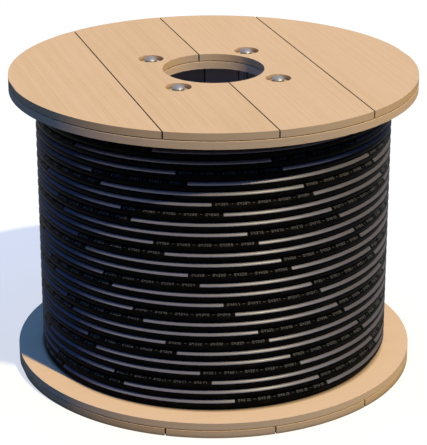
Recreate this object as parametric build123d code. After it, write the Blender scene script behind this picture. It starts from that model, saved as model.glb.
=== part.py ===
from build123d import *
import math
import os

# Wooden cable drum standing on one flange, wound full with cable.
# Millimetres. The drum's axis is Z, the boards run along Y, and the floor is at Z = 0.

# flanges
flange_diameter = 630.0
board_count = 4            # parallel boards in the outer layer
board_thickness = 12.0
disc_thickness = 12.0      # the plain round inner layer
board_gap = 2.0            # open joint between two boards
seam_gap = 1.2             # the rims of the two layers stand this far apart
seam_depth = 3.0           # how far in from the rim and the bore that gap goes
seam_ease = 0.8            # chamfer on the layer below the gap
bore_diameter = 157.0      # spindle hole through both flanges

# barrel
traverse = 425.0           # clear width between the flanges
barrel_diameter = 315.0
stave_count = 16
stave_thickness = 18.0
stave_gap = 2.0
groove_depth = 5.0         # how deep the staves stand in the discs
groove_clearance = 0.25

# cable
cable_diameter = 15.5
turns_per_layer = 27
winding_diameter = 551.5
turn_groove_depth = 3.4    # how far the hollow between two turns goes in
winding_clearance = 0.25   # between the staves and the first layer

# tie bolts
bolt_circle_diameter = 222.0
bolt_count = 4
bolt_diameter = 8.0
bolt_hole_clearance = 0.5  # all round the shank
bolt_head_diameter = 20.6
bolt_head_height = 5.5
bolt_collar_diameter = 17.6
bolt_collar_height = 5.1   # lifts the head until its top stands above the boards
bolt_neck_height = 4.5
bolt_neck_clearance = 0.2
bolt_end_depth = 1.5       # from the floor up to the bolt's end
bolt_end_chamfer = 0.8
head_recess_diameter = 39.5
head_recess_depth = 7.0
nut_recess_diameter = 39.5
nut_across_flats = 13.0
nut_height = 6.5
nut_clearance = 0.1
washer_width = 24.0        # square plate under each nut
washer_thickness = 2.0

# levels, from the floor up
lower_disc_z = board_thickness
traverse_z = lower_disc_z + disc_thickness
upper_disc_z = traverse_z + traverse
upper_board_z = upper_disc_z + disc_thickness
board_face_z = upper_board_z + board_thickness

flange_radius = flange_diameter / 2
bore_radius = bore_diameter / 2
barrel_radius = barrel_diameter / 2
stave_inner_flat = barrel_radius - stave_thickness
bolt_hole_radius = bolt_diameter / 2 + bolt_hole_clearance
bolt_places = PolarLocations(bolt_circle_diameter / 2, bolt_count, start_angle=45, rotate=False)

# how a solid sits on its level: standing on it or hanging below it
standing = (Align.CENTER, Align.CENTER, Align.MIN)
hanging = (Align.CENTER, Align.CENTER, Align.MAX)

parts = {}


def seam_cutter(seam_z):
    """The open seam above a level: a narrow ring round the rim and another round the bore."""
    with BuildPart() as cutter:
        with BuildSketch(Plane.XY.offset(seam_z)):
            Circle(flange_radius + seam_depth)
            Circle(flange_radius - seam_depth, mode=Mode.SUBTRACT)
            Circle(bore_radius + seam_depth)
            Circle(bore_radius - seam_depth, mode=Mode.SUBTRACT)
        extrude(amount=seam_gap)
    return cutter.part


def eased(layer, seam_z):
    """The layer below a seam, with its round edges at that level chamfered."""
    edges = layer.edges().filter_by(GeomType.CIRCLE).filter_by_position(Axis.Z, seam_z, seam_z)
    return chamfer(edges, seam_ease)


def flange_board(index, base_z):
    """One board of an outer layer: a strip of the round flange, cut out for the bore."""
    width = flange_diameter / board_count
    left = -flange_radius + index * width
    with BuildPart() as board:
        with BuildSketch(Plane.XY.offset(base_z)):
            Circle(flange_radius)
            with Locations((left + width / 2, 0)):
                Rectangle(width - board_gap, 2 * flange_diameter, mode=Mode.INTERSECT)
            Circle(bore_radius, mode=Mode.SUBTRACT)
        extrude(amount=board_thickness)
    return board.part


def upper_bolt_cutter():
    """What a tie bolt takes out of the upper flange: recess, square neck hole and shank hole."""
    seat = board_face_z - head_recess_depth
    neck = bolt_diameter + 2 * bolt_neck_clearance
    with BuildPart() as cutter:
        with Locations((0, 0, seat)):
            Cylinder(head_recess_diameter / 2, head_recess_depth, align=standing)
            Box(neck, neck, bolt_neck_height, align=hanging)
        with Locations((0, 0, traverse_z)):
            Cylinder(bolt_hole_radius, seat - traverse_z, align=standing)
    return cutter.part


def lower_bolt_cutter():
    """What a tie bolt takes out of the lower flange: a recess through the boards and a hole above."""
    with BuildPart() as cutter:
        Cylinder(nut_recess_diameter / 2, lower_disc_z, align=standing)
        Cylinder(bolt_hole_radius, traverse_z, align=standing)
    return cutter.part


upper_holes = bolt_places * upper_bolt_cutter()
lower_holes = bolt_places * lower_bolt_cutter()

for i in range(board_count):
    upper_board = flange_board(i, upper_board_z) - seam_cutter(upper_board_z)
    lower_board = eased(flange_board(i, 0.0), lower_disc_z)
    parts[f"upper_flange_board_{i + 1}"] = upper_board - upper_holes
    parts[f"lower_flange_board_{i + 1}"] = lower_board - lower_holes


def flange_disc(base_z, groove_z):
    """The inner layer of a flange: a bored disc with the ring groove that holds the staves."""
    with BuildPart() as disc:
        with BuildSketch(Plane.XY.offset(base_z)):
            Circle(flange_radius)
            Circle(bore_radius, mode=Mode.SUBTRACT)
        extrude(amount=disc_thickness)
        with BuildSketch(Plane.XY.offset(groove_z)):
            Circle(barrel_radius + groove_clearance)
            Circle(stave_inner_flat - groove_clearance, mode=Mode.SUBTRACT)
        extrude(amount=groove_depth, mode=Mode.SUBTRACT)
    return disc.part


lower_disc = flange_disc(lower_disc_z, traverse_z - groove_depth) - seam_cutter(lower_disc_z)
upper_disc = eased(flange_disc(upper_disc_z, upper_disc_z), upper_board_z)
parts["lower_flange_disc"] = lower_disc - lower_holes
parts["upper_flange_disc"] = upper_disc - upper_holes


def barrel_stave():
    """A stave with a rounded back and a flat inner face, as long as the traverse and both grooves."""
    half_angle = 180 / stave_count
    reach = barrel_radius + stave_thickness
    side = math.tan(math.radians(half_angle)) * reach
    with BuildPart() as stave:
        with BuildSketch(Plane.XY.offset(traverse_z - groove_depth)):
            Circle(barrel_radius)
            with BuildLine():
                shift = stave_gap / 2 / math.sin(math.radians(half_angle))
                Polyline((shift, 0), (shift + reach, side), (shift + reach, -side), close=True)
            make_face(mode=Mode.INTERSECT)
            with Locations((stave_inner_flat + stave_thickness / 2, 0)):
                Rectangle(stave_thickness, 2 * side, mode=Mode.INTERSECT)
        extrude(amount=traverse + 2 * groove_depth)
    return stave.part


for i, place in enumerate(PolarLocations(0, stave_count)):
    parts[f"barrel_stave_{i + 1:02d}"] = place * barrel_stave()


def winding_profile():
    """Half section of the winding: a ridge for each turn, the first and last against the flanges."""
    crown = winding_diameter / 2
    hollow = crown - turn_groove_depth
    pitch = (traverse - cable_diameter) / (turns_per_layer - 1)
    first = traverse_z + cable_diameter / 2
    outline = [(barrel_radius + winding_clearance, traverse_z), (hollow, traverse_z)]
    for turn in range(turns_per_layer):
        outline.append((crown, first + turn * pitch))
        if turn < turns_per_layer - 1:
            outline.append((hollow, first + (turn + 0.5) * pitch))
    outline += [(hollow, upper_disc_z), (barrel_radius + winding_clearance, upper_disc_z)]
    return outline


with BuildPart() as winding:
    with BuildSketch(Plane.XZ):
        with BuildLine():
            Polyline(*winding_profile(), close=True)
        make_face()
    revolve(axis=Axis.Z)
parts["cable_winding"] = winding.part


def tie_bolt():
    """Shank down through both flanges, square neck, round collar and a domed head on top."""
    seat = board_face_z - head_recess_depth
    head_z = seat + bolt_collar_height
    dome = ((bolt_head_diameter / 2) ** 2 + bolt_head_height**2) / (2 * bolt_head_height)
    with BuildPart() as bolt:
        with Locations((0, 0, bolt_end_depth)):
            Cylinder(bolt_diameter / 2, seat - bolt_end_depth, align=standing)
        chamfer(bolt.edges().group_by(Axis.Z)[0], bolt_end_chamfer)
        with Locations((0, 0, seat)):
            Box(bolt_diameter, bolt_diameter, bolt_neck_height, align=hanging)
            Cylinder(bolt_collar_diameter / 2, bolt_collar_height, align=standing)
        with BuildSketch(Plane.XZ):
            with Locations((0, head_z + bolt_head_height - dome)):
                Circle(dome)
            with Locations((0, head_z)):
                Rectangle(2 * dome, 2 * dome, align=(Align.MIN, Align.MIN), mode=Mode.INTERSECT)
        revolve(axis=Axis.Z)
    return bolt.part


def washer():
    """Square plate under a nut, flush with the disc that the recess leaves bare."""
    with BuildPart() as plate:
        with BuildSketch(Plane.XY.offset(lower_disc_z - washer_thickness)):
            Rectangle(washer_width, washer_width)
            Circle(bolt_hole_radius, mode=Mode.SUBTRACT)
        extrude(amount=washer_thickness)
    return plate.part


def nut():
    """Plain hexagon nut below its washer, bored a little wider than the shank."""
    with BuildPart() as hexagon:
        with BuildSketch(Plane.XY.offset(lower_disc_z - washer_thickness - nut_height)):
            RegularPolygon(nut_across_flats / 2, 6, major_radius=False)
            Circle(bolt_diameter / 2 + nut_clearance, mode=Mode.SUBTRACT)
        extrude(amount=nut_height)
    return hexagon.part


for i, place in enumerate(bolt_places):
    parts[f"tie_bolt_{i + 1}"] = place * tie_bolt()
    parts[f"tie_bolt_washer_{i + 1}"] = place * washer()
    parts[f"tie_bolt_nut_{i + 1}"] = place * nut()

os.makedirs("parts", exist_ok=True)
for name, shape in parts.items():
    export_step(shape, f"parts/{name}.step")
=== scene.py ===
# %% [markdown]
# # A wooden cable drum, wound full of black cable
#
# The drum stands on one flange. Each flange is two layers of wood, four tie bolts hold the flanges
# together, and one long cable fills the space between them. The wood and the bolts come from the
# packed drum and only get their finish here. The cable is made here turn by turn.

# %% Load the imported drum
import math

import bpy
import numpy as np
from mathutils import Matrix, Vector


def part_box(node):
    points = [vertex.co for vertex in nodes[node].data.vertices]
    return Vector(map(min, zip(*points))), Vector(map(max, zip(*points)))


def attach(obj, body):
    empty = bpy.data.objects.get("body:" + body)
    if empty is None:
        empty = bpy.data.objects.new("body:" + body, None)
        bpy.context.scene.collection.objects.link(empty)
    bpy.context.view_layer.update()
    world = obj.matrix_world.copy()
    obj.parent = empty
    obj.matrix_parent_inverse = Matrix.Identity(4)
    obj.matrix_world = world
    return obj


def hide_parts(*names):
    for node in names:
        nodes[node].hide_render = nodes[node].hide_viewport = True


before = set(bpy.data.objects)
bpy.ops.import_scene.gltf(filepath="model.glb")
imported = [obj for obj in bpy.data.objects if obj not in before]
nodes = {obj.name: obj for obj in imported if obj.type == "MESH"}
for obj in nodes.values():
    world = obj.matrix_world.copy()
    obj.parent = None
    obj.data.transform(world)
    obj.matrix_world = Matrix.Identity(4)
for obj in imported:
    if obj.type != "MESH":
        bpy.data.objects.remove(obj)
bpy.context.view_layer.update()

# %% [markdown]
# ## Read the sizes off the drum
#
# The flange faces, the height and the outside of the winding could be typed in as metres, but then
# a wider drum would leave its cable behind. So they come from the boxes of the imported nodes. Only
# what a turned ring can't tell is written here: how thick the cable is, how steeply it climbs, and
# where its first turn lies as seen from the front, which is the side that faces the camera.

# %% Sizes of the drum, in metres
flange_radius = (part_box("upper_flange_disc")[1][0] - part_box("upper_flange_disc")[0][0]) / 2
floor_of_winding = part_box("lower_flange_disc")[1][2]
top_of_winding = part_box("upper_flange_disc")[0][2]
winding_radius = (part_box("cable_winding")[1][0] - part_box("cable_winding")[0][0]) / 2
barrel_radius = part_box("barrel_stave_01")[1][0]

cable_radius = 0.0077        # a shade under half the pitch, so that no turn cuts the next
pitch = 0.01567              # climb of one turn
turns = 27                   # turns that show from the front
first_turn_height = 0.0099   # centre of the lowest turn above the flange, at the front
layer_drop = 2 * cable_radius * math.sqrt(3) / 2

full_turn = 2 * math.pi
camera_azimuth = math.radians(-17)     # counted from -Y, the drum's own front, towards +X
front = camera_azimuth - math.pi / 2   # the same direction, counted from +X

centre_radius = winding_radius - cable_radius
traverse = top_of_winding - floor_of_winding
print(f"flange {2000 * flange_radius:.0f} mm, winding {2000 * winding_radius:.0f} mm, "
      f"between the flanges {1000 * traverse:.0f} mm")


# %% [markdown]
# ## A surface from a grid of points
#
# Every new piece here is a grid: one direction runs along the piece, the other round it. A grid of
# points is easy to work out with numpy, and its faces always follow the same rule, so one helper
# can turn any grid into a closed mesh.

# %% Turn grids of points into meshes
def skin(rows, columns, wrap_rows=False):
    """Four corners of every face of a grid whose columns close into a ring.

    Face (i, j) joins point (i, j) to its neighbours (i+1, j), (i+1, j+1) and (i, j+1), and the last
    column's neighbour is the first. With wrap_rows the last row joins the first as well.
    """
    i = np.arange(rows if wrap_rows else rows - 1)[:, None]
    j = np.arange(columns)[None, :]
    i_next, j_next = (i + 1) % rows, (j + 1) % columns
    corners = [i * columns + j, i_next * columns + j, i_next * columns + j_next, i * columns + j_next]
    return np.stack([np.broadcast_to(c, (i.size, columns)).ravel() for c in corners], axis=1)


def piece(name, points, faces, smooth=True):
    """A new mesh object from an array of points and a list of arrays of faces."""
    mesh = bpy.data.meshes.new(name)
    all_faces = [face for block in faces for face in block.tolist()]
    mesh.from_pydata(points.reshape(-1, 3).tolist(), [], all_faces)
    mesh.polygons.foreach_set("use_smooth", np.full(len(mesh.polygons), smooth))
    mesh.update()
    made = bpy.data.objects.new(name, mesh)
    bpy.context.scene.collection.objects.link(made)
    print(f"{name}: {len(mesh.vertices)} points, {len(mesh.polygons)} faces")
    return made


# %% [markdown]
# ## The line that the outer layer follows
#
# A drum is wound like a bobbin: the cable climbs by one pitch each turn, and where it meets a
# flange it has nowhere to go but flat along it. So the height is a plain helix held between two
# stacks: no turn may lie lower than a stack of cables that stands on the lower flange, nor higher
# than one that hangs from the upper flange. A curve object could be bent into this shape by hand,
# but a formula keeps all turns a cable's width apart, which is what the eye checks first.

# %% Height of the cable's centre line
flat_reach = math.radians(101)    # how far to each side of the front a first or last turn runs flat
lead_in = math.radians(76)        # the cable comes up from the layer below over this angle
lead_out = math.radians(26)       # and starts to climb onto the finished layer over this one


def staircase(angle, flat_from, flat_to):
    """Counts turns, but stands still while the angle is between flat_from and flat_to.

    From the end of one flat to the start of the next it rises evenly by one.
    """
    turn = np.floor((angle - flat_from) / full_turn)
    along = angle - flat_from - turn * full_turn
    rise = np.clip((along - (flat_to - flat_from)) / (full_turn - (flat_to - flat_from)), 0, 1)
    return turn + rise


def centre_height(angle):
    """A helix, held up by the stack on the lower flange and down by the one under the upper.

    Helix = first height + pitch x turns. A stack's height = cable radius + diameter x turns.
    """
    helix = first_turn_height + pitch * angle / full_turn
    count = staircase(angle, -flat_reach, flat_reach)
    lowest = cable_radius + 2 * cable_radius * count
    highest = traverse - cable_radius - 2 * cable_radius * (turns - 1 - count)
    return floor_of_winding + np.minimum(np.maximum(helix, lowest), highest)


def wedge(rise):
    """How far a cable stands back from a neighbour that is less than its own width higher.

    The centres stay a diameter apart: root(diameter squared - rise squared), but at most the
    distance between two layers.
    """
    return np.sqrt(np.clip((2 * cable_radius) ** 2 - rise**2, 0, layer_drop**2))


# %% [markdown]
# ## From the first turn to the last
#
# At both ends the cable leaves the layer: it comes up from the one below, and it goes on over the
# finished one. There it stands back from its neighbour, or forward of it, by as much as the wedge
# between them leaves. The line could be drawn with rounded corners there. A running mean over the
# whole line rounds them all at once and changes nothing where the line is even.

# %% Work out the whole line
steps_per_turn = 144
mean_steps = 15                   # the running mean reaches over this many steps

first_angle = -flat_reach - lead_in
last_angle = (turns - 1) * full_turn + flat_reach + lead_out
angle = np.linspace(first_angle, last_angle, int((last_angle - first_angle) / full_turn * steps_per_turn))

height = centre_height(angle)
starting = angle < -flat_reach
ending = angle > (turns - 1) * full_turn + flat_reach
height[starting] = floor_of_winding + cable_radius
height[ending] = top_of_winding - cable_radius
radius = np.full_like(angle, centre_radius)
radius[starting] -= wedge(centre_height(angle[starting] + full_turn) - height[starting])
radius[ending] += wedge(height[ending] - centre_height(angle[ending] - full_turn))

weights = np.hanning(mean_steps) / np.hanning(mean_steps).sum()


def rounded(values):
    """The running mean of the values, with the first and last held on past the ends."""
    return np.convolve(np.pad(values, mean_steps // 2, mode="edge"), weights, mode="valid")


radius, height = rounded(radius), rounded(height)
print(f"outer layer: {(last_angle - first_angle) / full_turn:.2f} turns, "
      f"{np.sum(radius * np.gradient(angle)):.1f} m of cable")


# %% [markdown]
# ## The cable's round surface
#
# A round section is carried along the line. Each point also keeps two numbers: how many turns it
# lies from the front of the first turn, and at what angle round the section. The finish needs both,
# because the printed stripe follows the cable and not the drum. The section's seam is on the hidden
# inner side, where the angle jumps from 180 to -180 degrees.

# %% Carry the section along the line
section_points = 18


def on_cable(turn_angle, line_radius, line_height, round_angle, out):
    """Points on the cable: outward by cos(round_angle) and upward by sin(round_angle) from the line."""
    radial = line_radius + out * np.cos(round_angle)
    return np.stack([radial * np.cos(front + turn_angle), radial * np.sin(front + turn_angle),
                     line_height + out * np.sin(round_angle)], axis=-1)


round_angle = np.linspace(-np.pi, np.pi, section_points, endpoint=False) + np.pi / section_points
tube = on_cable(angle[:, None], radius[:, None], height[:, None], round_angle[None, :], cable_radius)

# %% [markdown]
# ## The cable's two ends
#
# Where the cable starts and stops it is cut and a little rounded. A flat face would leave a sharp
# edge, so each end gets a shallow cap: three rings that shrink, and a small flat face on the last.

# %% Close both ends with a shallow cap
cap_leans = np.radians([35, 65, 84])     # where the rings of a cap lie on its rounding
cap_depth = 0.6 * cable_radius

along = np.stack([-radius * np.sin(front + angle), radius * np.cos(front + angle),
                  np.gradient(height, angle)], axis=-1)
along /= np.linalg.norm(along, axis=1)[:, None]


def cap(end, sign):
    """Rings that shrink by a cosine while they move out by a sine, as on a rounded end."""
    middle = tube[end].mean(axis=0)
    lean = cap_leans[:, None, None]
    rings = middle + (tube[end] - middle)[None] * np.cos(lean)
    return rings + sign * along[end][None, None] * cap_depth * np.sin(lean)


tube = np.concatenate([cap(0, -1)[::-1], tube, cap(-1, 1)])
rows = len(tube)
first_ring = np.arange(section_points)[None, :]
last_ring = (rows - 1) * section_points + first_ring[:, ::-1]
cable = piece("cable_outer_layer", tube, [skin(rows, section_points), first_ring, last_ring])

# %% Note the turn number and the side angle on every point
turn_of_row = np.pad(angle, len(cap_leans), mode="edge") / full_turn
turn_number = cable.data.attributes.new("turn_number", "FLOAT", "POINT")
turn_number.data.foreach_set("value", np.repeat(turn_of_row, section_points).astype(np.float32))
side_angle = cable.data.attributes.new("side_angle", "FLOAT", "POINT")
side_angle.data.foreach_set("value", np.tile(np.degrees(round_angle), rows).astype(np.float32))
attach(cable, "root")
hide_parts("cable_winding")
print(f"turn numbers from {turn_of_row[0]:.2f} to {turn_of_row[-1]:.2f}")

# %% [markdown]
# ## The layers below
#
# Seven more layers lie under the outer one. They show only in the narrow wedges beside the flanges,
# where the outer layer starts and ends. Seven more helices would be mostly hidden, so one turned
# ring with a level, rounded ridge for each turn is enough.

# %% Turn a ring for the layers below
ridge_points = 7                         # points over each ridge's crown
ridge_spread = math.radians(75)          # and how far they reach up and down from it
ring_steps = 96                          # points round the drum
edge_step = 0.002                        # how far the ring stands back beside the flanges
barrel_gap = 0.0003                      # between the barrel and the first layer

ridge_centres = floor_of_winding + cable_radius + 2 * cable_radius * np.arange(turns)
lean = np.linspace(-ridge_spread, ridge_spread, ridge_points)
ridge_height = (ridge_centres[:, None] + cable_radius * np.sin(lean)[None, :]).ravel()
ridge_radius = np.tile(centre_radius - layer_drop + cable_radius * np.cos(lean), turns)
inner_radius = barrel_radius + barrel_gap
edge_radius = ridge_radius[0] - edge_step
profile_radius = np.concatenate([[inner_radius, edge_radius], ridge_radius, [edge_radius, inner_radius]])
profile_height = np.concatenate([[floor_of_winding] * 2, ridge_height, [top_of_winding] * 2])
sweep = np.linspace(0, full_turn, ring_steps, endpoint=False)
ring = np.stack([profile_radius[:, None] * np.cos(sweep), profile_radius[:, None] * np.sin(sweep),
                 np.broadcast_to(profile_height[:, None], (len(profile_height), ring_steps))], axis=-1)
ring_faces = skin(len(profile_radius), ring_steps, wrap_rows=True)[:, ::-1]
layers_below = piece("cable_layers_below", ring, [ring_faces])
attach(layers_below, "root")

# %% [markdown]
# ## Numbers printed on the cable
#
# The cable carries a grey stripe with gaps, and in each gap a row of small marks. On such a cable
# these are running length marks, so plain numbers are printed here: five copies of one five-figure
# number with a dash between. A text object would need its own bending for every mark. Bars on the
# surface need only an angle along the drum and an angle round the cable, so the figures are built
# from the seven bars of a clock display.

# %% Shape the figures from seven bars
figure_width, figure_height = 0.0025, 0.0042
figure_step = 0.0039                     # from one figure to the next
stroke = 0.00064                         # how wide a bar is

# each bar as its left, lower, right and upper edge, in shares of a figure's width and height
wide, high = stroke / figure_width, stroke / figure_height
bars = np.array([[0, 1 - high, 1, 1], [1 - wide, 0.5, 1, 1], [1 - wide, 0, 1, 0.5], [0, 0, 1, high],
                 [0, 0, wide, 0.5], [0, 0.5, wide, 1], [0, 0.5 - high / 2, 1, 0.5 + high / 2]])

# the bars are the top, two on the right, the bottom, two on the left and the middle
lit = {"0": [0, 1, 2, 3, 4, 5], "1": [1, 2], "2": [0, 1, 6, 4, 3], "3": [0, 1, 6, 2, 3], "4": [5, 6, 1, 2],
       "5": [0, 5, 6, 2, 3], "6": [0, 5, 6, 4, 2, 3], "7": [0, 1, 2], "8": [0, 1, 2, 3, 4, 5, 6],
       "9": [0, 1, 2, 3, 5, 6], "-": [6], " ": []}
print(f"a figure is {1000 * figure_width} x {1000 * figure_height} mm, its bars {1000 * stroke} mm wide")

# %% Lay rows of figures along the cable
mark_start = math.radians(6.6)           # where a gap in the stripe begins, past the front
mark_gap = math.radians(32.3)            # how long a gap is
mark_period = math.radians(97.2)         # from one gap to the next
mark_height = math.radians(46)           # middle of the print, as an angle round the cable
mark_copies = 5
first_number = 4310
print_lift = 0.00012                     # how far the print stands off the sheath


def row_of_bars(mark):
    """Edges of the bars of one row: two angles along the drum, then two round the cable.

    Along = left end of the row + (place x step + share of the width) / radius of the winding.
    Round = middle of the print + (share of the height - a half) x height / radius of the cable.
    """
    text = " - ".join([f"{first_number + mark:05d}"] * mark_copies)
    spare = mark_gap - len(text) * figure_step / winding_radius
    left = mark_start + mark * mark_period + spare / 2
    places = np.concatenate([np.full(len(lit[letter]), place) for place, letter in enumerate(text)])
    shares = np.concatenate([bars[lit[letter]] for letter in text])
    x = left + (places[:, None] * figure_step + shares[:, [0, 2]] * figure_width) / winding_radius
    y = mark_height + (shares[:, [1, 3]] - 0.5) * figure_height / cable_radius
    return np.concatenate([x, y], axis=1)


def bar_grid(edges):
    """Six points for each bar, two along it and three up it, so that it bends with the cable."""
    x = edges[:, [0, 1]][:, :, None]
    y = np.stack([edges[:, 2], edges[:, 2:].mean(axis=1), edges[:, 3]], axis=1)[:, None, :]
    x, y = np.broadcast_arrays(x, y)
    line_radius, line_height = np.interp(x, angle, radius), np.interp(x, angle, height)
    return on_cable(x, line_radius, line_height, y, cable_radius + print_lift)


# the first row lies a period before mark_start, and the last still has room for its whole gap
last_mark = int((last_angle - mark_start - mark_gap) / mark_period)
edges = np.concatenate([row_of_bars(mark) for mark in range(-1, last_mark + 1)])
lowest_left = 6 * np.arange(len(edges))[:, None]
bar_faces = np.concatenate([lowest_left + [0, 3, 4, 1], lowest_left + [1, 4, 5, 2]])
figures = piece("length_marks", bar_grid(edges), [bar_faces])
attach(figures, "root")


# %% [markdown]
# ## A short way to write materials
#
# A material is a small graph of nodes, and so is the sky. Each node could be made and joined by
# hand, in four or five lines. The helper below adds a node, sets its plain inputs and joins it to
# others in one line, so that each graph reads like a recipe.

# %% Helper for graphs of nodes
class Recipe:
    """The graph of a material or a sky: add() puts in a node and fills or feeds its inputs."""

    def __init__(self, owner, shader="Principled BSDF"):
        self.owner = owner
        self.owner.use_nodes = True
        self.tree = self.owner.node_tree
        self.shader = self.tree.nodes[shader]

    def add(self, kind, inputs=(), **settings):
        """A new node, with its settings and its inputs, by name or by number."""
        node = self.tree.nodes.new("ShaderNode" + kind)
        for key, value in settings.items():
            setattr(node, key, value)
        for key, value in dict(inputs).items():
            self.feed(node.inputs[key], value)
        return node

    def feed(self, socket, value):
        """Joins another node's output to a socket, or sets the socket's own value."""
        if isinstance(value, bpy.types.NodeSocket):
            self.tree.links.new(value, socket)
        else:
            socket.default_value = value

    def place(self):
        """Where a point lies on the drum, in metres."""
        return self.add("TexCoord").outputs["Object"]

    def mapped(self, place, **settings):
        """A place turned by Rotation or stretched by Scale."""
        return self.add("Mapping", {"Vector": place, **settings}).outputs[0]

    def noise(self, place, scale=1.0, detail=2.0, roughness=0.5):
        """Clouds from 0 to 1, with scale of them to the metre."""
        look = {"Vector": place, "Scale": scale, "Detail": detail, "Roughness": roughness}
        return self.add("TexNoise", look).outputs[0]

    def math(self, operation, *values):
        """One sum, product or other step on numbers."""
        return self.add("Math", dict(enumerate(values)), operation=operation).outputs[0]

    def between(self, share, low, high):
        """low + share x (high - low)."""
        return self.math("MULTIPLY_ADD", share, high - low, low)

    def ramp(self, value, low, high):
        """0 below low, 1 above high, with a soft step between."""
        limits = {0: value, 1: low, 2: high, 3: 0.0, 4: 1.0}
        return self.add("MapRange", limits, interpolation_type="SMOOTHSTEP").outputs[0]

    def fade(self, value, low, high):
        """1 below low, 0 above high: one less the ramp."""
        return self.math("SUBTRACT", 1.0, self.ramp(value, low, high))

    def mix(self, share, one, other, blend="MIX"):
        """One colour at share 0, the other at share 1."""
        return self.add("Mix", {0: share, 6: one, 7: other}, data_type="RGBA", blend_type=blend).outputs[2]

    def bump(self, relief, strength, distance):
        """A surface direction that rises and falls with the relief, by distance in metres."""
        shape = {"Height": relief, "Strength": strength, "Distance": distance}
        return self.add("Bump", shape).outputs[0]

    def nook(self, reach, low, high):
        """0 in a narrow joint or hole, 1 where nothing is near: how open the surface is within reach."""
        openness = self.add("AmbientOcclusion", {"Distance": reach}, samples=8).outputs["AO"]
        return self.ramp(openness, low, high)

    def seen(self):
        """1 for what the camera sees directly or in metal and glass, 0 for light that falls on things."""
        rays = self.add("LightPath").outputs
        mirrored = self.math("MAXIMUM", rays["Is Glossy Ray"], rays["Is Transmission Ray"])
        return self.math("MAXIMUM", rays["Is Camera Ray"], mirrored)

    def finish(self, **inputs):
        """Feeds the shader's sockets and gives the finished material or sky back."""
        for key, value in inputs.items():
            self.feed(self.shader.inputs[key.replace("_", " ")], value)
        return self.owner


def put_on(objects, material):
    """Gives these objects this one material."""
    for obj in objects:
        obj.data.materials.clear()
        obj.data.materials.append(material)
    print(f"{material.name}: on {len(objects)}")


def packed(word):
    """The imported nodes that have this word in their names."""
    return [node for name, node in nodes.items() if word in name]


# %% [markdown]
# ## Planed softwood
#
# The boards are light softwood, and what tells the eye so is the grain: yearly rings that run as
# long lines over the face and show as arcs on a sawn end. A flat streak pattern can't do both. So
# the rings are worked out in space: the distance from a pith line that runs beside each board,
# bent a little by noise, and cut into rings by a wave. Wherever a board is sawn, its face cuts the
# rings as a saw would. Each board reads its own place across the drum, so no two look the same.

# %% Yearly rings in space
layer_height = 0.1                       # boards in another layer of this height differ as well
pith_beside = (0.12, 0.28)               # how far beside a board's middle its pith line runs
pith_below = (0.03, 0.13)                # and how far below it
ring_sway = 0.012                        # how far noise moves a ring
sway_waves = (6, 1.3, 6)                 # waves of it per metre across, along and through the grain
late_wood = (0.35, 0.93)                 # in a year, the wood darkens between these shares
strong_years = (0.25, 0.75)              # noise below the first gives a pale ring, above both a full one
wood_seed = 3.7


def board_luck(make, board, layer):
    """Three numbers from 0 to 1 that are the same all over a board and differ from board to board."""
    seed = make.add("CombineXYZ", {0: board, 1: layer, 2: wood_seed}).outputs[0]
    speckle = make.add("TexWhiteNoise", {"Vector": seed}).outputs["Color"]
    return make.add("SeparateColor", {0: speckle}).outputs


def yearly_rings(make, laid, board_width, ring_width):
    """Share of late wood, from 0 to 1, and the board's third lucky number.

    Distance = root(from the pith line sideways, squared + in depth, squared) + sway x noise.
    A year is a ring width of distance. In each the wood darkens slowly and turns pale at once.
    """
    across, _, through = make.add("SeparateXYZ", {0: laid}).outputs
    board = make.math("FLOOR", make.math("DIVIDE", across, board_width))
    layer = make.math("FLOOR", make.math("DIVIDE", through, layer_height))
    luck = board_luck(make, board, layer)
    middle = make.math("MULTIPLY", make.math("ADD", board, 0.5), board_width)
    off_middle = make.math("SUBTRACT", across, middle)
    off_base = make.math("SUBTRACT", through, make.math("MULTIPLY", layer, layer_height))
    beside = make.math("SUBTRACT", off_middle, make.between(luck[0], *pith_beside))
    below = make.math("ADD", off_base, make.between(luck[1], *pith_below))
    squares = make.math("ADD", make.math("POWER", beside, 2.0), make.math("POWER", below, 2.0))
    sway = make.noise(make.mapped(laid, Scale=sway_waves))
    distance = make.math("MULTIPLY_ADD", sway, ring_sway, make.math("SQRT", squares))
    year = make.math("DIVIDE", distance, ring_width)
    season = make.math("FRACT", year)
    late = make.math("MULTIPLY", make.ramp(season, *late_wood), make.fade(season, late_wood[1], 1.0))
    which_year = make.add("CombineXYZ", {0: make.math("FLOOR", year), 1: board}).outputs[0]
    strength = make.ramp(make.noise(which_year, scale=0.71, detail=0.0), *strong_years)
    return make.math("MULTIPLY", late, strength), luck[2]


# %% [markdown]
# ## From rings to a finished board
#
# Rings alone look printed. Real wood also has fibres about a millimetre wide, cloudy stains as
# wide as a thumb, and a tone of its own for each board. All four only shift a share between a light
# and a dark colour. Faces towards the front and the back are made duller. On the boards that is
# where the saw cut across the fibres; on the discs, whose grain runs the other way, it is painted
# shade on the front and back rims. The surface's own direction tells where it is. Joints, drilled
# holes and places beside other parts get painted shade, and how closed in a point is tells where
# those are.

# %% Make the wood
fibre_waves = (900, 14, 900)             # waves per metre across, along and through the grain
stain_waves = (22, 5, 22)
fibre_tone = (-0.20, 0.20)               # how far each shifts the share of dark wood
stain_tone = (-0.15, 0.15)
board_tone = (-0.02, 0.12)
# duller towards the front and back: end grain on the boards, painted shade on the discs' rims
end_grain_and_painted_shade = (0.53, 0.42, 0.38, 1)         # where the saw cut across the fibres
end_share = 0.75
# painted shade: the wood darkens where a point is closed in by a wall or another part
painted_shade_wood = (0.10, 0.075, 0.055, 1)      # in joints and drilled holes
nook_reach = 0.009                       # a wall this near begins to close a point in
turned_grain = {"X": (0, 0, math.pi / 2), "Y": (0, 0, 0), "Z": (math.pi / 2, 0, 0)}


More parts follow.
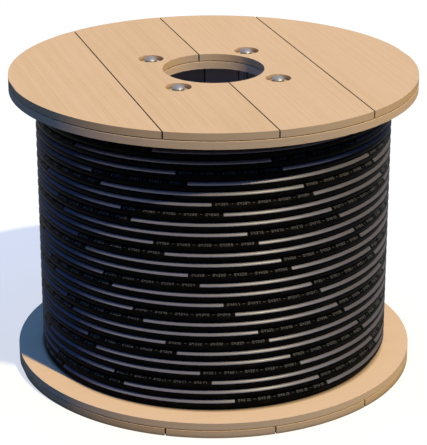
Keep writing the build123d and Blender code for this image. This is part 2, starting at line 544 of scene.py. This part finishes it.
def wood(name, grain, board_width, light, dark, ring_width=0.0034, ring_share=0.32):
    """Tone = rings + fibres + stains + the board's own, as a share between light and dark wood.

    Facing front and back = the surface direction's share along Y, to the fourth power. On the boards
    this dulls the sawn ends; on the discs it is painted shade on the front and back rims.
    """
    make = Recipe(bpy.data.materials.new(name))
    laid = make.mapped(make.place(), Rotation=turned_grain[grain])
    late, own_luck = yearly_rings(make, laid, board_width, ring_width)
    facing = make.add("SeparateXYZ", {0: make.add("TexCoord").outputs["Normal"]}).outputs[1]
    facing_front_back = make.math("POWER", make.math("ABSOLUTE", facing), 4.0)
    late = make.math("MULTIPLY", late, make.between(facing_front_back, 1.0, 0.3))
    fibre = make.noise(make.mapped(laid, Scale=fibre_waves), detail=3.0, roughness=0.6)
    stain = make.noise(make.mapped(laid, Scale=stain_waves), detail=4.0)
    tone = make.math("MULTIPLY", late, ring_share)
    for share, limits in [(fibre, fibre_tone), (stain, stain_tone), (own_luck, board_tone)]:
        tone = make.math("ADD", tone, make.between(share, *limits))
    colour = make.mix(make.ramp(tone, -0.15, 0.75), light, dark)
    # duller towards the front and back: end grain on the boards, painted shade on the discs' rims
    colour = make.mix(make.math("MULTIPLY", facing_front_back, end_share), colour, end_grain_and_painted_shade)
    # painted shade in joints, drilled holes and beside other parts, where the wood is closed in
    colour = make.mix(make.nook(nook_reach, 0.25, 0.95), painted_shade_wood, colour)
    relief = make.math("ADD", make.math("MULTIPLY", fibre, 0.7), make.math("MULTIPLY", late, 0.5))
    return make.finish(Base_Color=colour, Roughness=make.between(fibre, 0.78, 0.96),
                       Normal=make.bump(relief, 0.16, 0.0006), Specular_IOR_Level=0.03)


# %% Put wood on the boards, discs and staves
put_on(packed("board"), wood("planed_boards", "Y", flange_radius / 2,
                             light=(0.87, 0.57, 0.325, 1), dark=(0.66, 0.385, 0.18, 1), ring_share=0.28))
put_on(packed("disc"), wood("sawn_panel", "X", 0.9, light=(0.92, 0.635, 0.43, 1),
                            dark=(0.73, 0.462, 0.28, 1), ring_width=0.009, ring_share=0.10))
# the staves' cool blue-grey is a painted shade tint: it stands in for the blue shade inside the bore
put_on(packed("stave"), wood("sawn_staves", "Z", 0.06,
                             light=(0.68, 0.75, 0.86, 1), dark=(0.55, 0.61, 0.71, 1)))

# %% [markdown]
# ## Zinc on the bolts
#
# Bright zinc is a metal with a fine, slightly cloudy skin. One even grey would look like paint. So
# noise shifts the grey a little and changes the roughness from place to place, which breaks the
# highlight up as on real plating, and painted shade darkens the metal that lies deep in the recess.

# %% Make the zinc
dark_zinc, pale_zinc = (0.22, 0.225, 0.27, 1), (0.30, 0.305, 0.36, 1)
# painted shade on the metal deep in the recess
painted_shade_zinc = (0.03, 0.03, 0.034, 1)
recess_reach = 0.014                     # a wall this near begins to darken the metal
cloud_waves, crystal_waves = 260.0, 900.0
crystal_share = 0.12


def zinc():
    """Grey = between two greys by noise, with a hint of crystals, and painted shade deep in the recess."""
    make = Recipe(bpy.data.materials.new("bright_zinc"))
    place = make.place()
    cloud = make.noise(place, scale=cloud_waves, detail=4.0)
    crystals = make.add("TexVoronoi", {"Vector": place, "Scale": crystal_waves}).outputs["Color"]
    colour = make.mix(crystal_share, make.mix(cloud, dark_zinc, pale_zinc), crystals, "OVERLAY")
    # painted shade on the metal deep in the recess
    colour = make.mix(make.nook(recess_reach, 0.35, 1.0), painted_shade_zinc, colour)
    return make.finish(Base_Color=colour, Metallic=1.0, Roughness=make.between(cloud, 0.4, 0.6),
                       Normal=make.bump(cloud, 0.2, 0.0003))


put_on(packed("bolt"), zinc())

# %% [markdown]
# ## Black sheath with a printed stripe
#
# The sheath is black plastic. A shine all over it would mirror the pale surroundings and turn the
# black grey, so it has almost none. The stripe is ink, and could be a strip of its own like the
# figures, but it is long and its edges are soft, so it belongs in the colour: it shows where the
# angle round the cable is between two limits and the turn number is not in a gap. Fine noise makes
# the ink's edges and its cover a little uneven, as a print wheel does. The ink shines where the
# surface is seen square on, which gives the bright glints of the sun along the front.

# %% Make the sheath
stripe_low, stripe_high = 23.0, 68.0     # limits of the stripe, in degrees round the cable
stripe_blur = 1.5                        # half the width of its soft edges, in degrees
gap_blur = 0.004                         # and of a gap's end, as a share of the period
sheath_black, scuffed_black = (0.003, 0.003, 0.0032, 1), (0.008, 0.0078, 0.0075, 1)
ink_colour = (0.130, 0.121, 0.152, 1)
ink_sheen = (0.74, 0.75, 1.0, 1)         # tint of the ink's gloss, which keeps it neutral in a warm sun
plain_shine, ink_shine = 0.01, 0.96
shine_fades = (0.12, 0.36)               # from square on, 0, to edge on, 1, the ink's shine ends here
skin_waves, scuff_waves = 420.0, 38.0    # waves of noise per metre


def inked(make, skin_noise):
    """1 in the stripe, 0 beside it and in its gaps.

    The stripe is where the side angle, made ragged by noise, is between its low and high limits.
    The place in the period = fraction of ((turn number - start) / period), and the gap comes first.
    """
    side = make.add("Attribute", attribute_name="side_angle").outputs["Fac"]
    side = make.math("ADD", side, make.between(skin_noise, -stripe_blur, stripe_blur))
    across = make.math("MULTIPLY", make.ramp(side, stripe_low - stripe_blur, stripe_low + stripe_blur),
                       make.fade(side, stripe_high - stripe_blur, stripe_high + stripe_blur))
    turn = make.add("Attribute", attribute_name="turn_number").outputs["Fac"]
    past_start = make.math("SUBTRACT", turn, mark_start / full_turn)
    periods = make.math("DIVIDE", past_start, mark_period / full_turn)
    gap_share = mark_gap / mark_period
    beyond_gap = make.ramp(make.math("FRACT", periods), gap_share, gap_share + gap_blur)
    return make.math("MULTIPLY", across, beyond_gap)


def sheath(name, striped):
    """Black, a little paler where scuffed, and ink over it that shines where it is seen square on."""
    make = Recipe(bpy.data.materials.new(name))
    place = make.place()
    skin_noise = make.noise(place, scale=skin_waves, detail=3.0)
    scuff = make.noise(place, scale=scuff_waves, detail=5.0, roughness=0.7)
    colour = make.mix(make.ramp(scuff, 0.45, 0.8), sheath_black, scuffed_black)
    rough = make.between(scuff, 0.36, 0.50)
    shine = plain_shine
    if striped:
        ink = inked(make, skin_noise)
        colour = make.mix(make.math("MULTIPLY", ink, make.between(scuff, 0.84, 1.08)), colour, ink_colour)
        rough = make.math("MULTIPLY_ADD", ink, -0.02, rough)
        edge_on = make.add("LayerWeight", {"Blend": 0.5}).outputs["Facing"]
        glossy = make.math("MULTIPLY", ink, make.fade(edge_on, *shine_fades))
        shine = make.between(glossy, plain_shine, ink_shine)
    return make.finish(Base_Color=colour, Roughness=rough, Normal=make.bump(skin_noise, 0.08, 0.0003),
                       Specular_IOR_Level=shine, Specular_Tint=ink_sheen)


put_on([cable], sheath("striped_sheath", True))
put_on([layers_below], sheath("plain_sheath", False))

# %% [markdown]
# ## Ink of the figures
#
# The figures are printed more thinly than the stripe and have worn in places, so they are darker
# than it and uneven. A picture of worn letters could be laid on, but noise finer than a figure
# wears every one of them differently.

# %% Make the ink of the figures
fresh_ink, worn_ink = (0.13, 0.125, 0.14, 1), (0.065, 0.062, 0.07, 1)


def print_ink():
    """Between fresh and worn ink by noise."""
    make = Recipe(bpy.data.materials.new("print_ink"))
    wear = make.ramp(make.noise(make.place(), scale=700.0, detail=3.0), 0.35, 0.75)
    return make.finish(Base_Color=make.mix(wear, fresh_ink, worn_ink), Roughness=0.42,
                       Specular_IOR_Level=0.05)


put_on([figures], print_ink())

# %% [markdown]
# ## Floor
#
# The drum stands on a pale studio floor. A white floor would throw its light up on the drum and
# wash out the shade between the turns. So it is pale only for the camera and for mirror rays, and
# dark for the light that falls on things, and a little glow of its own lifts it to nearly white
# and still leaves the drum's shadow on it.

# %% Lay the floor
floor_reach = 9.0
floor_level = -0.0002                    # just under the boards, so that the two faces don't flicker
floor_glow = 0.62
pale_floor_colours = (0.42, 0.42, 0.42, 1), (0.46, 0.46, 0.46, 1)
unseen_floor = (0.035, 0.04, 0.05, 1)


def pale_floor():
    """Mottled pale grey and its glow where it is seen, and nearly black where it would light things."""
    make = Recipe(bpy.data.materials.new("pale_floor"))
    seen = make.seen()
    pale = make.mix(make.noise(make.place(), scale=30.0, detail=3.0), *pale_floor_colours)
    glow = make.math("MULTIPLY", seen, floor_glow)
    return make.finish(Base_Color=make.mix(seen, unseen_floor, pale), Roughness=0.9,
                       Specular_IOR_Level=0.1, Emission_Color=(1, 1, 1, 1), Emission_Strength=glow)


# three by three points with a square between each four, named by its first point
reach = np.linspace(-floor_reach, floor_reach, 3)
floor_points = np.stack(np.meshgrid(reach, reach, [floor_level], indexing="ij"), axis=-1)
first_points = np.array([0, 1, 3, 4])[:, None]
floor = piece("floor", floor_points, [first_points + [0, 3, 4, 1]], smooth=False)
put_on([floor], pale_floor())


# %% [markdown]
# ## Light
#
# A warm lamp stands high on the front right, and a cool sky fills the shade. Area lamps could do
# the same, but their light fades with distance, while a sun lamp lights the whole drum evenly and
# gives the upper flange's shadow one clear edge on the cable. The sky is strongest overhead and
# dark at the horizon, so the wood's shaded rims and the cable under the flange stay deep.

# %% Light the drum
sun_azimuth = math.radians(26.4)
sun_height = math.radians(54.6)
sun_width = math.radians(2.0)            # the wider the sun, the softer the shadow's edge
sun_energy = 3.11
sun_colour = (1.0, 0.85, 0.42)
sky_colour = (0.165, 0.50, 1.38, 1)      # straight overhead


def towards(azimuth, above):
    """Unit vector at an azimuth counted from -Y towards +X, and an angle above the horizon.

    Sideways = sin azimuth x cos above, forwards = -cos azimuth x cos above, up = sin above.
    """
    level = math.cos(above)
    return np.array([math.sin(azimuth) * level, -math.cos(azimuth) * level, math.sin(above)])


def aim(obj, direction):
    """Turns an object so that its own -Z looks along direction."""
    obj.rotation_euler = Vector(direction).to_track_quat("-Z", "Y").to_euler()


def sky():
    """A blue that grows with the square of the height above the horizon, in front of a white backdrop."""
    make = Recipe(bpy.data.worlds.new("sky"), "Background")
    upward = make.add("SeparateXYZ", {0: make.add("TexCoord").outputs["Generated"]}).outputs[2]
    share = make.math("POWER", make.math("MAXIMUM", upward, 0.0), 2.0)
    blue = make.mix(share, (0, 0, 0, 1), sky_colour)
    return make.finish(Color=make.mix(make.seen(), blue, (1, 1, 1, 1)), Strength=1.0)


sun = bpy.data.objects.new("sun", bpy.data.lights.new("sun", "SUN"))
bpy.context.scene.collection.objects.link(sun)
sun.data.energy = sun_energy
sun.data.color = sun_colour
sun.data.angle = sun_width
aim(sun, -towards(sun_azimuth, sun_height))
bpy.context.scene.world = sky()
print(f"sun {math.degrees(sun_height):.1f} degrees high and {math.degrees(sun_azimuth):.1f} degrees round")

# %% [markdown]
# ## Camera
#
# The photograph looks down on the drum from a little to the left. The camera could be moved by eye
# until the picture fits. Here its place, tilt and lens come from the drum's outlines, so that both
# flanges, the bore and the joints fall where the photograph has them.

# %% Set up the camera
camera_distance = 2.6663                 # from the drum's axis
camera_height = 1.2637
look_down = math.radians(21.42)
sensor_width, focal_length = 36, 145.63  # millimetres
view_depth = 60                          # metres that the camera sees into

camera = bpy.data.objects.new("camera", bpy.data.cameras.new("camera"))
bpy.context.scene.collection.objects.link(camera)
camera.location = camera_distance * towards(camera_azimuth, 0) + [0, 0, camera_height]
aim(camera, -towards(camera_azimuth, look_down))
camera.data.sensor_width = sensor_width
camera.data.lens = focal_length
camera.data.clip_end = view_depth
bpy.context.scene.camera = camera
bpy.context.scene.view_settings.view_transform = "Standard"
print("camera at", [round(c, 3) for c in camera.location])
